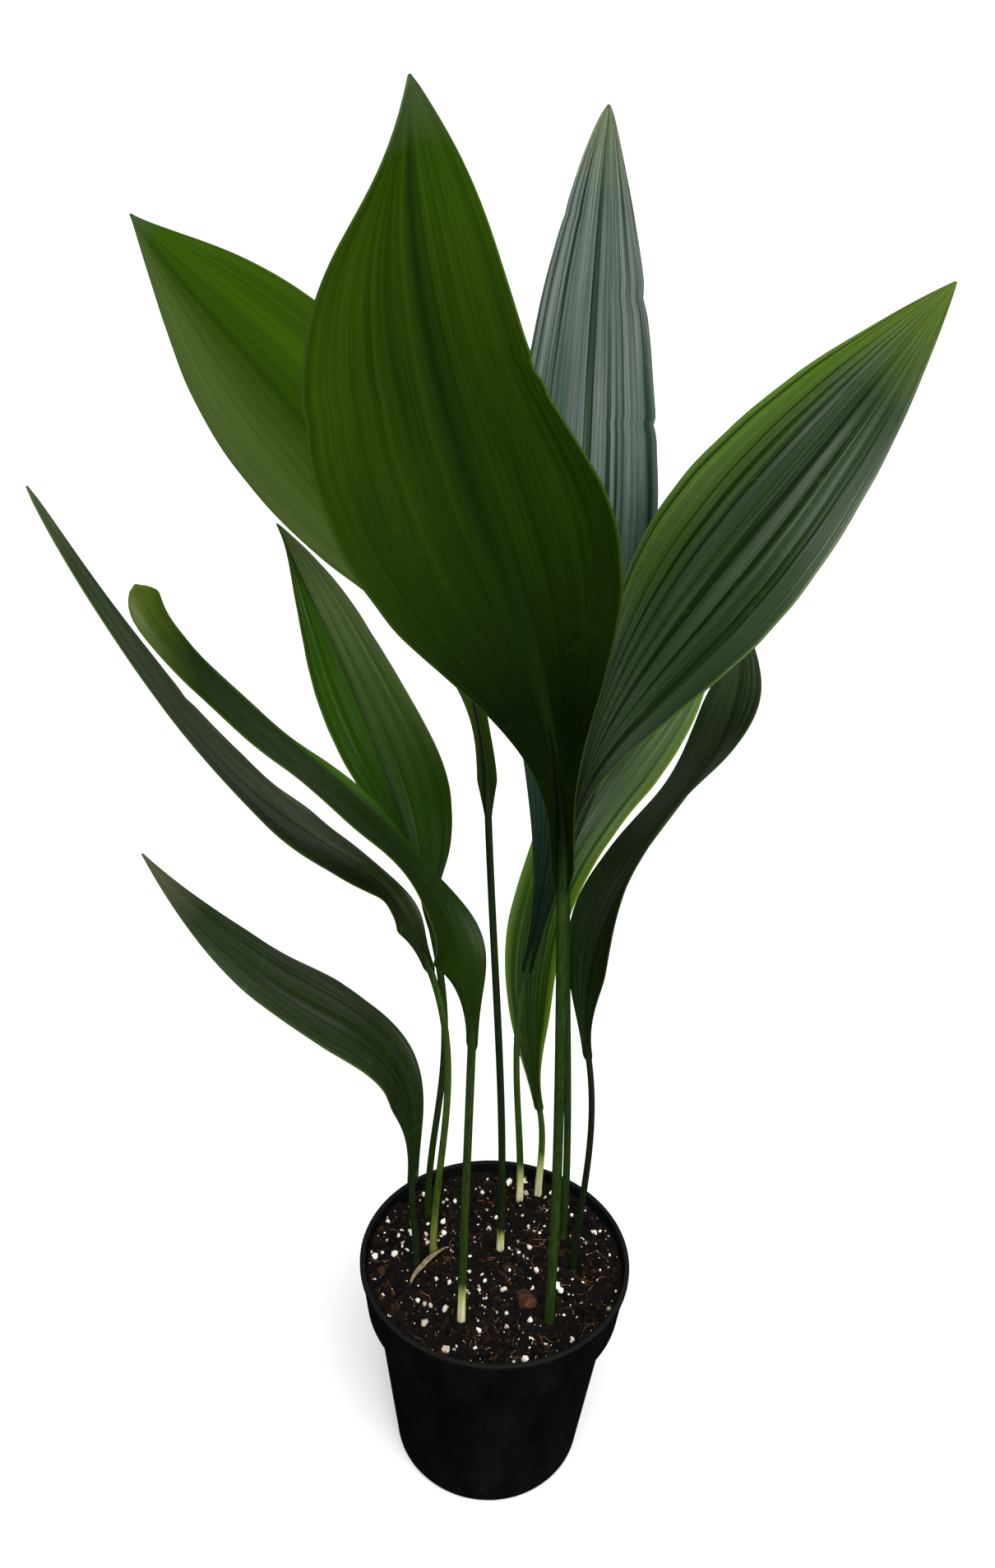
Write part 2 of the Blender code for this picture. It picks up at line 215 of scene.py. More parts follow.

# %% [markdown]
# ## Leaf shapes
#
# Each leaf is drawn by one curve, its spine, which runs along the midrib from the stalk to the tip. Across the
# spine the blade has a width that swells and tapers, a fold along the midrib, and an arch that lets the margins
# fall back. A drawn outline for each leaf would need hundreds of points. These few numbers say the same thing,
# and they are the ones that the solids were made from, so the fine blade lies where its solid does.
#
# The table is not hand-made. Another program fitted each leaf to its outline by least squares, and what it gave was
# rounded. Some numbers of front, rear, left_inner, left_outer and right_low were changed afterwards. The feet were
# worked out by a program too, and some were then moved. The pleats and the necks were chosen one by one.

# %% Leaf table
# foot: where the stalk leaves the soil. stalk: its radius at the soil and at the blade. spine: base, two handles
# and tip. peak, fullness and neck: where the blade is widest, how full its sides are, how long its base tapers.
# fold and arch: how far the halves rise into a V, and how far the margins curl back. faces: where the upper side
# looks at the base, the middle and the tip, as azimuth and elevation. pleats: how many, and how deep.
# Millimetres and degrees.
LEAVES = {
    "front": {
        "foot": (30, -36), "stalk": (2.6, 2.2),
        "spine": ((18, -86, 436), (12, -97, 556), (-45, -124, 610), (-36, -198, 709)),
        "width": 112, "peak": 0.87, "fullness": 0.87, "neck": 0.37, "fold": -8, "arch": 0.23,
        "faces": ((89, 12), (75, -20), (-105, 60)), "pleats": (8, 0.12),
    },
    "rear": {
        "foot": (14, 54), "stalk": (2.1, 1.6),
        "spine": ((11, 59, 288), (38, 70, 440), (22, 89, 581), (29, 135, 710)),
        "width": 83, "peak": 0.86, "fullness": 0.75, "neck": 0.31, "fold": 6, "arch": 0.10,
        "faces": ((-86, 10), (-86, 10), (-64, 19)), "pleats": (14, 0.42),
    },
    "right": {
        "foot": (39, 25), "stalk": (2.3, 1.8),
        "spine": ((26, 8, 377), (21, 6, 479), (101, 22, 567), (171, 40, 649)),
        "width": 96, "peak": 0.95, "fullness": 0.94, "neck": 0.26, "fold": 0, "arch": 0.13,
        "faces": ((173, 25), (-128, 42), (-88, 51)), "pleats": (11, 0.5),
    },
    "left": {
        "foot": (3, 14), "stalk": (2.1, 1.7),
        "spine": ((-14, -2, 432), (-20, 6, 528), (-115, 15, 605), (-168, 40, 662)),
        "width": 96, "peak": 1.20, "fullness": 1.16, "neck": 0.30, "fold": 6, "arch": 0.10,
        "faces": ((83, 25), (84, 24), (97, 25)), "pleats": (9, 0.15),
    },
    "left_inner": {
        "foot": (-40, 40), "stalk": (2.1, 1.8),
        "spine": ((-38, -3, 352), (-59, 9, 441), (-83, 27, 476), (-114, 44, 535)),
        "width": 56, "peak": 0.80, "fullness": 0.85, "neck": 0.10, "fold": 45, "arch": 0.0,
        "faces": ((-17, 17), (-114, 19), (-75, 88)), "pleats": (7, 0.2),
    },
    "left_outer": {
        "foot": (-35, 9), "stalk": (2.0, 1.7),
        "spine": ((-38, -18, 339), (-70, -34, 449), (-90, -54, 371), (-185, -66, 576)),
        "width": 59, "peak": 0.88, "fullness": 0.65, "neck": 0.20, "fold": 7, "arch": 0.08,
        "faces": ((-130, 60), (90, 85), (-100, 88)), "pleats": (7, 0.15),
    },
    "left_middle": {
        "foot": (-17, -37), "stalk": (2.1, 2.0),
        "spine": ((-16, -60, 327), (-15, -74, 456), (-112, -105, 491), (-132, -122, 559)),
        "width": 62, "peak": 0.81, "fullness": 0.65, "neck": 0.22, "fold": 4, "arch": 0.10,
        "faces": ((-113, 59), (93, 75), (-126, 64)), "pleats": (7, 0.15),
    },
    "left_low": {
        "foot": (-44, 2), "stalk": (1.9, 1.6),
        "spine": ((-45, -20, 206), (-39, -27, 342), (-88, -47, 296), (-156, -65, 423)),
        "width": 58, "peak": 0.80, "fullness": 1.04, "neck": 0.24, "fold": 6, "arch": 0.09,
        "faces": ((-59, 46), (103, 67), (-92, 53)), "pleats": (7, 0.15),
    },
    "right_low": {
        "foot": (44, 0), "stalk": (1.9, 1.6),
        "spine": ((43, 2, 275), (20, 20, 397), (138, 36, 415), (93, 49, 511)),
        "width": 55, "peak": 0.77, "fullness": 0.99, "neck": 0.12, "fold": 20, "arch": 0.08,
        "faces": ((-129, 27), (117, 0), (-90, 42)), "pleats": (7, 0.2),
    },
    "rear_low": {
        "foot": (25, 58), "stalk": (2.2, 1.7),
        "spine": ((23, 64, 187), (-9, 79, 326), (48, 97, 385), (99, 117, 456)),
        "width": 74, "peak": 0.92, "fullness": 0.65, "neck": 0.18, "fold": 9, "arch": 0.08,
        "faces": ((-119, 42), (150, 18), (-80, 40)), "pleats": (9, 0.35),
    },
}
BASE_HALF_WIDTH = 2.2
TIP_HALF_WIDTH = 0.4
SOIL_TOP = 127.0
# How the blade runs down onto its stalk: extra half width there, and how far below the base it reaches, as a
# share of the spine. Most blades stop short. The two biggest on upright stalks have a long winged neck.
NECKS = {"front": (2.5, 0.10), "left": (2.5, 0.12)}
PLAIN_NECK = (0.8, 0.04)
print(len(LEAVES), "leaves, the widest", max(leaf["width"] for leaf in LEAVES.values()), "mm")

# %% Spine, outline and facing


def cubic(points, t):
    """Point and direction of a cubic curve at t, from 0 to 1."""
    a, b, c, d = [Vector(point) for point in points]
    s = 1 - t
    place = a * s**3 + b * 3 * s * s * t + c * 3 * s * t * t + d * t**3
    heading = (b - a) * s * s + (c - b) * 2 * s * t + (d - c) * t * t
    return place, heading.normalized()


def half_width(leaf, t):
    body = sin(pi * min(t ** leaf["peak"], 1.0)) ** leaf["fullness"] if 0 < t < 1 else 0.0
    taper = 1 - exp(-((max(t, 1e-6) / leaf["neck"]) ** 1.5))
    return leaf["width"] / 2 * body * taper + BASE_HALF_WIDTH * (1 - t) ** 2 + TIP_HALF_WIDTH * t * t


def stalk_curve(leaf):
    """The stalk as one cubic: straight up out of the soil, and straight on into the spine."""
    start = Vector((*leaf["foot"], SOIL_TOP + 1))
    base, heading = cubic(leaf["spine"], 0)
    reach = (base - start).length / 3
    return start, start + Vector((0, 0, reach)), base - heading * reach, base


def spine_frame(leaf, t):
    """Place, heading, side and upper direction of the midrib at t. Below 0, it follows the stalk down."""
    place, heading = cubic(leaf["spine"], t) if t >= 0 else cubic(stalk_curve(leaf), 1 + t)
    t = max(t, 0.0)
    first, middle, last = [looking(*face) for face in leaf["faces"]]
    upward = first * (1 - t) ** 2 + middle * 2 * t * (1 - t) + last * t * t
    upward = (upward - heading * upward.dot(heading)).normalized()
    return place, heading, heading.cross(upward), upward


longest = max(LEAVES, key=lambda name: cubic(LEAVES[name]["spine"], 1)[0].z)
print("the highest tip is on leaf", longest, "at", cubic(LEAVES[longest]["spine"], 1)[0].z, "mm")

# %% [markdown]
# ## Blades
#
# A real blade is a leathery sheet about half a millimetre thick. It is pleated lengthwise, with a channel above
# the midrib, and its margins ripple a little and carry small nicks. Cloth simulation could ripple a sheet, but
# it would lose the pleats. A fine flat grid is made instead, one side of it along the leaf and the other across,
# and each of its points is moved to its place on the curved, pleated sheet. The grid's own UV map then follows
# the veins. A Solidify modifier gives the sheet its thickness, and gives its under side a skin of its own.

# %% Relief of a blade
BLADE_THICKNESS = 0.6
MIDRIB_DEPTH = 0.45
MIDRIB_WIDTH = 1.6
CREASE_SOFTNESS = 0.05
# How far up the blade the neck's extra width fades, and the half width at which the relief is at its full height.
WING_FADE = 0.11
FULL_RELIEF_REACH = 16
# Nicks in the margins: side (-1 or 1), place along the blade, depth and length as shares. A negative depth is a
# bulge.
NICKS = {
    "right_low": ((1, 0.62, -0.28, 0.16), (-1, 0.62, -0.12, 0.16)),
    "front": ((-1, 0.775, 0.05, 0.007), (-1, 0.74, 0.02, 0.012), (1, 0.70, 0.02, 0.014)),
    "rear": ((1, 0.80, 0.05, 0.010), (1, 0.66, 0.04, 0.006), (-1, 0.88, 0.03, 0.008)),
    "left_outer": ((1, 0.80, 0.10, 0.010),),
}


def margin(name, leaf, across, t, seed):
    """Half width at this point with the small waves and nicks of a real margin."""
    side = 1 if across > 0 else -1
    wing, below = NECKS.get(name, PLAIN_NECK)
    reach = half_width(leaf, max(t, 0.0)) + wing * exp(-((t / WING_FADE) ** 2))
    if t < 0:
        reach = 0.3 + (reach - 0.3) * max(0.0, 1 + t / below) ** 1.5
    reach *= 1 + 0.014 * noise.noise(Vector((t * 16, side * 5, seed)))
    for nick_side, place, depth, length in NICKS.get(name, ()):
        if side == nick_side:
            reach *= 1 - depth * exp(-(((t - place) / length) ** 2))
    return reach


def relief(leaf, across, t, reach, seed):
    """How far the sheet stands off its plain curve here, in millimetres."""
    count, depth = leaf["pleats"]
    drift = 0.05 * noise.noise(Vector((across * 2, t * 3, seed)))
    phase = pi * count * (across + drift)
    pleat = 0.5 * sin(phase) + 1.1 * (abs(sin(phase * 0.63 + seed)) ** 0.55 - 0.7)
    depth = depth * (0.9 + 0.9 * noise.noise(Vector((across * 3, t * 2.5, seed + 9))))
    channel = -MIDRIB_DEPTH * exp(-((across * reach / MIDRIB_WIDTH) ** 2))
    ripple = 2.2 * abs(across) ** 3 * noise.noise(Vector((t * 6, 4 if across > 0 else -4, seed)))
    swell = 1.4 * noise.noise(Vector((across * 1.4, t * 4, seed + 3)))
    return (pleat * depth + channel + ripple + swell) * min(1.0, reach / FULL_RELIEF_REACH)


def blade_place(name, leaf, across, t, seed):
    """A point of the finished sheet, in millimetres: across runs from -1 to 1, t from base to tip."""
    place, heading, side, upward = spine_frame(leaf, t)
    reach = margin(name, leaf, across, t, seed)
    fold = radians(leaf["fold"])
    crease = sqrt(across * across + CREASE_SOFTNESS**2) - CREASE_SOFTNESS
    rise = crease * sin(fold) - leaf["arch"] * across * across
    return (
        place
        + side * (reach * across * cos(fold))
        + upward * (reach * rise + relief(leaf, across, t, reach, seed))
    )


print("nicked blades:", ", ".join(NICKS))

# %% [markdown]
# ## Leaf skin
#
# The skin of a blade is a wax layer over living green cells. The upper side is glossy, so it shows a grey sheen
# where light rakes it. The under side is matt and duller. Parallel veins run from base to tip, and the cells
# between them let some light through, so the blade is streaked lengthwise with a yellower green. Noise that is
# stretched along the leaf's own UV map draws those streaks, and it narrows with the blade as real veins do.
# The midrib, the margins and the tip are told apart by their place on the same map.

# %% Leaf skin
VEINS_ACROSS = 34
# Noise drawn out along the leaf: how many lines lie across it, how many along it, and how detailed they are.
LENGTHWISE = {
    "streaks": (VEINS_ACROSS, 1.3, 4.0),
    "bands": (6, 1.6, 2.0),
    "grooves": (24, 0.8, 1.0),
    "fine": (110, 2.5, 2.0),
    "patches": (4, 3.0, 1.0),
}
MOTTLE = 6 * MM
# The wax is the shader's coat. It bends light more than real wax does, so that the sheen reads at a distance.
WAX_IOR = 1.9


def leaf_skin(name, look, seed, roughness, wax):
    """Waxy leaf skin, grown: streaks and veins along the leaf, a midrib band, margins and a drying tip."""
    skin, tree, shader = new_skin(
        name, Specular_IOR_Level=0.03, Coat_IOR=WAX_IOR, Coat_Roughness=roughness
    )
    place = add_node(tree, "UVMap", uv_map="UVMap").outputs["UV"]
    axes = add_node(tree, "SeparateXYZ", {"Vector": place})
    across, along = axes.outputs["X"], axes.outputs["Y"]
    off_middle = add_node(tree, "Math", {0: across, 1: 0.5}, operation="SUBTRACT")
    from_middle = add_node(tree, "Math", {0: off_middle.outputs[0]}, operation="ABSOLUTE").outputs[0]

    noises = {}
    for kind, (lines, stretch, detail) in LENGTHWISE.items():
        scaling = {"Vector": place, "Location": (seed, 2 * seed, 0), "Scale": (lines, stretch, 1)}
        mapping = add_node(tree, "Mapping", scaling)
        settings = {"Vector": mapping.outputs[0], "Scale": 1.0, "Detail": detail, "Roughness": 0.65}
        noises[kind] = add_node(tree, "TexNoise", settings).outputs[0]

    spots = add_node(tree, "TexCoord").outputs["Object"]
    noises["spots"] = add_node(tree, "TexNoise", {"Vector": spots, "Scale": 1 / MOTTLE, "Detail": 4.0}).outputs[0]

    # Each share turns a value between two limits into an amount between two others, and no further.
    low, high, most = look["painted_light_side"]
    start, full = look["painted_light_along"]
    ranges = {
        "streak": (noises["streaks"], 0.38, 0.72, 0, look["streak"]),
        "band": (noises["bands"], 0.35, 0.75, 0, look["band"]),
        # Grooves and fine lines take the dark base colour: painted shade in the recesses.
        "groove": (noises["grooves"], 0.34, 0.46, look["groove"], 0),
        "fine": (noises["fine"], 0.36, 0.48, 0.22, 0),
        "mottle": (noises["spots"], 0.62, 0.72, 0, look["mottle"]),
        # The half turned up to the light is painted lighter, or grey as a painted sheen, in streaks along part of the
        # blade.
        "painted_light_half": (across, low, high, 0, most),
        "painted_light_length": (along, start, full, 0, 1),
        "painted_light_streak": (noises["streaks"], 0.3, 0.6, 0.5, 1),
        # Towards its base the blade is painted darker, as shade low in the clump.
        "base": (along, look["painted_shade_from"], look["painted_shade_reach"], 0.95, 0),
        "rib": (from_middle, 0.006, look["rib_width"], 0.8, 0),
        "margin": (from_middle, look["rim_from"], 0.498, 0, look["rim"]),
        "tip": (along, look["tip_start"], 0.99, 0, 0.9),
        "wax_ridge": (noises["grooves"], 0.36, 0.56, 0.1, 1),
        "wax_patch": (noises["patches"], 0.36, 0.62, look["patchy"] * wax, 1.2 * wax),
        "wax_length": (along, *look["wax_along"], 0.1, 1),
        "roughness": (noises["streaks"], 0.3, 0.7, roughness - 0.08, roughness + 0.09),
    }
    shares = {}
    for kind, (value, low, high, at_low, at_high) in ranges.items():
        limits = {"Value": value, "From Min": low, "From Max": high, "To Min": at_low, "To Max": at_high}
        shares[kind] = add_node(tree, "MapRange", limits).outputs[0]
    # Wax lies on the ridges and in patches, so the gloss is streaked too.
    products = {
        "painted_light": ("painted_light_half", "painted_light_length", "painted_light_streak"),
        "coat": ("wax_ridge", "wax_patch", "wax_length"),
    }
    for kind, (first, *others) in products.items():
        shares[kind] = shares[first]
        for other in others:
            both = {0: shares[kind], 1: shares[other]}
            shares[kind] = add_node(tree, "Math", both, operation="MULTIPLY").outputs[0]

    # The colours lie one over another. The half turned up to the light is painted lighter. The base, the grooves
    # and the fine lines are painted darker, as shade. The band along the midrib is darker, and on left_inner it is a
    # painted shadow in the crease of the fold. The margins and the tip are yellower.
    layers = (
        ("light", "streak"), ("light", "band"), ("painted_light", "painted_light"), ("base", "base"), ("base", "groove"),
        ("base", "fine"), ("edge", "mottle"), ("rib", "rib"), ("edge", "margin"), ("tip", "tip"),
    )
    green = linear(look["deep"])
    for tone, kind in layers:
        mixing = {FACTOR: shares[kind], COLOUR_A: green, COLOUR_B: linear(look[tone])}
        green = add_node(tree, "Mix", mixing, data_type="RGBA").outputs[MIXED]

    # Veins finer than a millimetre only show as relief.
    raised = add_node(tree, "Math", {0: noises["streaks"], 1: noises["fine"]}, operation="ADD").outputs[0]
    raised = add_node(tree, "Math", {0: raised, 1: shares["groove"]}, operation="SUBTRACT").outputs[0]
    veins = {"Height": raised, "Strength": 0.7, "Distance": look["veins"] * MM}
    bump = add_node(tree, "Bump", veins).outputs[0]
    coat = {"Coat Weight": shares["coat"], "Coat Normal": bump}
    fill(tree, shader, {"Base Color": green, "Roughness": shares["roughness"], "Normal": bump, **coat})
    return skin


# deep, light, painted_light, base, rib, edge and tip are colours. painted_light is the half turned up to the light,
# painted lighter or sheen-grey, and base is the painted shade at the base and in the grooves. streak, band, groove,
# mottle and rim are how much of a colour is laid over. painted_light_side and painted_light_along say where the
# painted lit half starts, where it is full and how strong it is. painted_shade_from to painted_shade_reach,
# rib_width, rim_from and tip_start are places on the blade. wax, wax_along and patchy say how waxy it is, and
# where. veins is their height in millimetres.
PLAIN_LOOK = {
    "deep": "#172a05", "light": "#2c4808", "streak": 0.6, "band": 0.4, "groove": 0.3, "mottle": 0.12,
    "painted_light": "#3f6410", "painted_light_side": (2, 3, 0), "painted_light_along": (-2, -1),
    "base": "#0e1c03", "painted_shade_from": 0.0, "painted_shade_reach": 0.5, "rib": "#142606", "rib_width": 0.03,
    "edge": "#42561a", "rim": 0.3, "rim_from": 0.486, "tip": "#42561a", "tip_start": 0.95,
    "wax": 0.35, "wax_along": (-2, -1), "patchy": 0.25, "veins": 0.25,
}
# What differs from leaf to leaf: age, how waxy it is, how much shade falls on it, painted into its greens, and which
# half is turned up to the light, painted lighter.
LOOKS = {
    "front": {
        "deep": "#1b3200", "light": "#385703", "streak": 0.4, "band": 0.5, "groove": 0.12, "base": "#030c00",
        "painted_shade_from": 0.3, "painted_shade_reach": 0.9, "rib": "#102202", "rib_width": 0.08, "tip": "#3c4c2c", "mottle": 0.04,
    },
    # The rear leaf's greens lean to blue: part of the blue-grey of its sheen is painted into them.
    "rear": {
        "deep": "#182c20", "light": "#304c3d", "groove": 0.9, "rib": "#20341f", "tip": "#44522a", "tip_start": 0.90,
        "base": "#050c02", "painted_shade_reach": 0.45, "wax": 0.62, "wax_along": (0.1, 0.8), "patchy": 0.45, "veins": 0.6,
    },
    "right": {
        "deep": "#122507", "light": "#213c0d", "groove": 0.8, "painted_light": "#48680a", "painted_light_side": (0.40, 0.08, 1.0),
        "painted_light_along": (0.3, 0.75), "tip": "#4b6216", "tip_start": 0.84, "rib": "#182c08", "painted_shade_reach": 0.25,
        "base": "#071202", "edge": "#4c6220", "rim": 0.6, "wax": 0.62, "wax_along": (1.1, 0.4), "patchy": 0.5,
        "veins": 0.6,
    },
    "left": {
        "deep": "#264001", "light": "#3c5c02", "painted_light": "#414f28", "painted_light_side": (0.5, 0.95, 0.95), "groove": 0.12,
        "streak": 0.4, "rib": "#1c3300", "rib_width": 0.22, "tip": "#3a4a2a", "base": "#0c1902", "painted_shade_from": 0.06,
        "painted_shade_reach": 0.4,
    },
    # On left_inner the near-black midrib band is a painted shadow in the crease of its fold.
    "left_inner": {
        "deep": "#183200", "light": "#284a02", "streak": 0.4, "groove": 0.15, "painted_light": "#4e5e34",
        "painted_light_side": (0.48, 0.52, 0.95), "painted_light_along": (0.3, 0.8), "rib": "#071001", "rib_width": 0.03,
    },
    "left_outer": {
        "deep": "#1c2b0c", "light": "#2d3d17", "tip": "#3c4c26", "base": "#172409", "groove": 0.4, "wax": 0.4,
        "mottle": 0.3, "rim": 0.6,
    },
    "left_middle": {
        "deep": "#101f03", "light": "#1a2d05", "painted_light": "#3a6408", "painted_light_side": (0.7, 0.86, 1.0),
        "painted_light_along": (0.25, 0.5), "tip": "#3e4e0e", "tip_start": 0.84, "base": "#172a01", "wax": 0.25,
    },
    "left_low": {
        "deep": "#1b280f", "light": "#2a381a", "groove": 0.35, "base": "#0d1b03", "wax": 0.4, "mottle": 0.3,
        "rim": 0.5, "tip": "#4c4c34", "tip_start": 0.9,
    },
    "right_low": {
        "deep": "#26331a", "light": "#35452a", "tip": "#2a3a1c", "base": "#0e1c05", "painted_shade_from": 0.3,
        "painted_shade_reach": 0.65, "wax": 0.1,
    },
    "rear_low": {
        "deep": "#142c00", "light": "#3c6204", "streak": 1.0, "band": 0.5, "groove": 0.7, "painted_light": "#587242",
        "painted_light_side": (-1.0, 0.1, 0.85), "painted_light_along": (0.4, 0.7), "rib": "#142c06", "base": "#0a1801",
        "painted_shade_reach": 0.4, "wax": 0.5, "edge": "#5a7c10", "rim": 0.9, "rim_from": 0.36,
    },
}
print("veins every", round(112 / VEINS_ACROSS, 1), "mm on the widest blade")

# %% [markdown]
# ## A piece of the plant
#
# Every finished mesh goes through the same last steps: smooth shading, its skins, its place in the plant, and
# the solid that it stands for. One function does them, and prints the size of what was made.

# %% Finish a piece


def add_piece(bm, name, skins, slot, *solids):
    """Turns a bmesh into a smooth piece that rides on the plant and stands for the named solids."""
    piece = new_object(bm, name)
    mesh = piece.data
    mesh.shade_smooth()
    for skin in skins:
        mesh.materials.append(skin)
    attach(piece, "root")
    if solids:
        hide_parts(*solids)
    print(f"{name}: {len(mesh.polygons)} faces, {piece.dimensions.x / MM:.0f} x {piece.dimensions.y / MM:.0f} mm")
    return piece


# %% Make the blades
BLADE_COLUMNS = 120
BLADE_ROWS = 120
UPPER_ROUGHNESS = 0.34
UNDER_ROUGHNESS = 0.60
UNDER_WAX = 0.0

for number, (name, leaf) in enumerate(LEAVES.items()):
    seed = 3.7 * (number + 1)
    below = NECKS.get(name, PLAIN_NECK)[1]
    bm = bmesh.new()
    bm.loops.layers.uv.new("UVMap")
    bmesh.ops.create_grid(bm, x_segments=BLADE_COLUMNS, y_segments=BLADE_ROWS, size=1, calc_uvs=True)
    for vert in bm.verts:
        t = (vert.co.y + 1) / 2 * (1 + below) - below
        vert.co = blade_place(name, leaf, vert.co.x, t, seed) * MM
    look = {**PLAIN_LOOK, **LOOKS[name]}
    upper = leaf_skin(f"waxy_upper_skin_{name}", look, seed, UPPER_ROUGHNESS, look["wax"])
    under = leaf_skin(f"matt_under_skin_{name}", look, seed, UNDER_ROUGHNESS, UNDER_WAX)
    piece = add_piece(bm, f"leaf_blade_{name}", (upper, under), "leaf_blade", f"{name}_blade")
    sheet = piece.modifiers.new("thickness", "SOLIDIFY")
    sheet.thickness = BLADE_THICKNESS * MM
    sheet.offset = 0
    sheet.material_offset = 1
    sheet.material_offset_rim = 1

# %% [markdown]
# ## Stalks
#
# A stalk is a smooth, hard rod with a shallow groove along its upper side. Its foot, where a sheath kept the
# light out, is cream. It runs on under the blade as the midrib and thins away there. A curve with a round bevel
# would make a rod, but not the groove. So a capped cylinder is cut into rings, and each ring is set across the
# stalk's path, with a dent on its upper side.

# %% Tubes along a path


def add_tube(bm, rings, segments, shape=None):
    """A closed tube. A ring is (centre, heading, upward, radius). shape(angle) scales the radius round it."""
    before = len(bm.verts)
    ends = bmesh.ops.create_cone(bm, cap_ends=True, segments=segments, radius1=1, radius2=1, depth=1)["verts"]
    edges = {edge for vert in ends for edge in vert.link_edges}
    uprights = [edge for edge in edges if abs(edge.verts[0].co.z - edge.verts[1].co.z) > 0.5]
    bmesh.ops.subdivide_edges(bm, edges=uprights, cuts=len(rings) - 2)
    bm.verts.ensure_lookup_table()
    verts = bm.verts[before:]
    for vert in verts:
        number = round((vert.co.z + 0.5) * (len(rings) - 1))
        centre, heading, upward, radius = rings[number]
        upward = (upward - heading * upward.dot(heading)).normalized()
        angle = atan2(vert.co.y, vert.co.x)
        reach = radius * (shape(angle, number) if shape else 1.0)
        side = upward.cross(heading)
        vert.co = (centre + side * (reach * cos(angle)) + upward * (reach * sin(angle))) * MM
    return verts


def grooved(angle, number):
    """Nearly round, with a shallow groove at the top, at a quarter turn."""
    return 1 - 0.22 * exp(-(((angle - pi / 2) / 0.45) ** 2))


STALK_RINGS = 70
RIB_RINGS = 24
RIB_END = 0.32


def stalk_rings(name, leaf):
    """Rings from just under the soil, up the stalk, and on under the blade as its midrib."""
    bottom, top = leaf["stalk"]
    curve = stalk_curve(leaf)
    facing = spine_frame(leaf, 0)[3]
    foot = Vector((*leaf["foot"], SOIL_TOP - 7))
    rings = [(foot, Vector((0, 0, 1)), facing, bottom * 1.1)]
    for step in range(STALK_RINGS):
        share = step / STALK_RINGS
        centre, along = cubic(curve, share)
        swollen = 0.08 * exp(-((share / 0.03) ** 2))
        rings.append((centre, along, facing, (bottom + (top - bottom) * share) * (1 + swollen)))
    for step in range(RIB_RINGS):
        share = step / (RIB_RINGS - 1)
        centre, along, _, above = spine_frame(leaf, RIB_END * share)
        radius = max(0.25, top * (1 - share) ** 1.6)
        below = radius * min(0.75, share / 0.15)
        rings.append((centre - above * below, along, above, radius))
    return rings


print("a stalk has", 1 + STALK_RINGS + RIB_RINGS, "rings")

# %% [markdown]
# The stalk's skin is coloured by its height over the soil, which each point carries as an attribute. Where it
# runs on as the midrib it takes the blade's dark base colour, a painted shade, and a second attribute says how far
# along that is.

# %% Stalk skin
# cream: how many millimetres of the foot are cream. foot and green: the colours below and above. The greens are
# partly their own, partly painted shade: darker on the stalks that stand under the leaves.
CREAM = "#d9d2a4"
LEAF_SHEATH = "#33451a"
STALK_LOOKS = {
    "front": (2, LEAF_SHEATH, "#21370a"), "rear": (14, CREAM, "#26400c"), "right": (2, LEAF_SHEATH, "#1c330a"),
    "left": (8, CREAM, "#142406"), "left_inner": (2, LEAF_SHEATH, "#1e330a"),
    "left_outer": (30, "#6c7a32", "#314a10"), "left_middle": (14, CREAM, "#22380a"),
    "left_low": (2, LEAF_SHEATH, "#16270a"),
    "right_low": (2, LEAF_SHEATH, "#101d07"), "rear_low": (16, CREAM, "#2c480c"),
}


def stalk_skin(name, cream, foot, green, rib):
    """Hard, satin leaf stalk: cream foot, green above, faint lengthwise streaks."""
    skin, tree, shader = new_skin(f"satin_stalk_skin_{name}", Roughness=0.42, Specular_IOR_Level=0.2)
    height = add_node(tree, "Attribute", attribute_name="height").outputs["Fac"]
    on_blade = add_node(tree, "Attribute", attribute_name="on_blade").outputs["Fac"]
    place = add_node(tree, "TexCoord").outputs["Object"]
    streak_map = add_node(tree, "Mapping", {"Vector": place, "Scale": (900, 900, 25)})
    streaks = add_node(tree, "TexNoise", {"Vector": streak_map.outputs[0], "Scale": 1.0, "Detail": 3.0}).outputs[0]
    limits = {"Value": streaks, "From Min": 0.3, "From Max": 0.7, "To Min": -3 * MM, "To Max": 3 * MM}
    lift = add_node(tree, "MapRange", limits)
    shifted = add_node(tree, "Math", {0: height, 1: lift.outputs[0]}, operation="ADD")
    share = add_node(tree, "MapRange", {"Value": shifted.outputs[0], "From Min": 0.0, "From Max": 2 * cream * MM})
    between = "#a9b463" if foot == CREAM else green
    ramp = add_node(tree, "ValToRGB", {"Fac": share.outputs[0]}, stops=((0.3, foot), (1.0, green), (0.65, between)))
    grey = add_node(tree, "ValToRGB", {"Fac": streaks}, stops=((0.3, "#b4b4b4"), (0.7, "#ffffff")))
    toned = {FACTOR: 1.0, COLOUR_A: ramp.outputs[0], COLOUR_B: grey.outputs[0]}
    tone = add_node(tree, "Mix", toned, data_type="RGBA", blend_type="MULTIPLY")
    # Under the blade the colour turns into the blade's base colour, which is painted shade.
    joined = {FACTOR: on_blade, COLOUR_A: tone.outputs[MIXED], COLOUR_B: linear(rib)}
    colour = add_node(tree, "Mix", joined, data_type="RGBA")
    bump = add_node(tree, "Bump", {"Height": streaks, "Strength": 0.3, "Distance": 0.2 * MM})
    fill(tree, shader, {"Base Color": colour.outputs[MIXED], "Normal": bump.outputs[0]})
    return skin


STALK_SIDES = 20
# Over this many rings at the top, the stalk's colour turns into the blade's painted base shade.
BLEND_RINGS = 8
BLEND_START = STALK_RINGS - 3

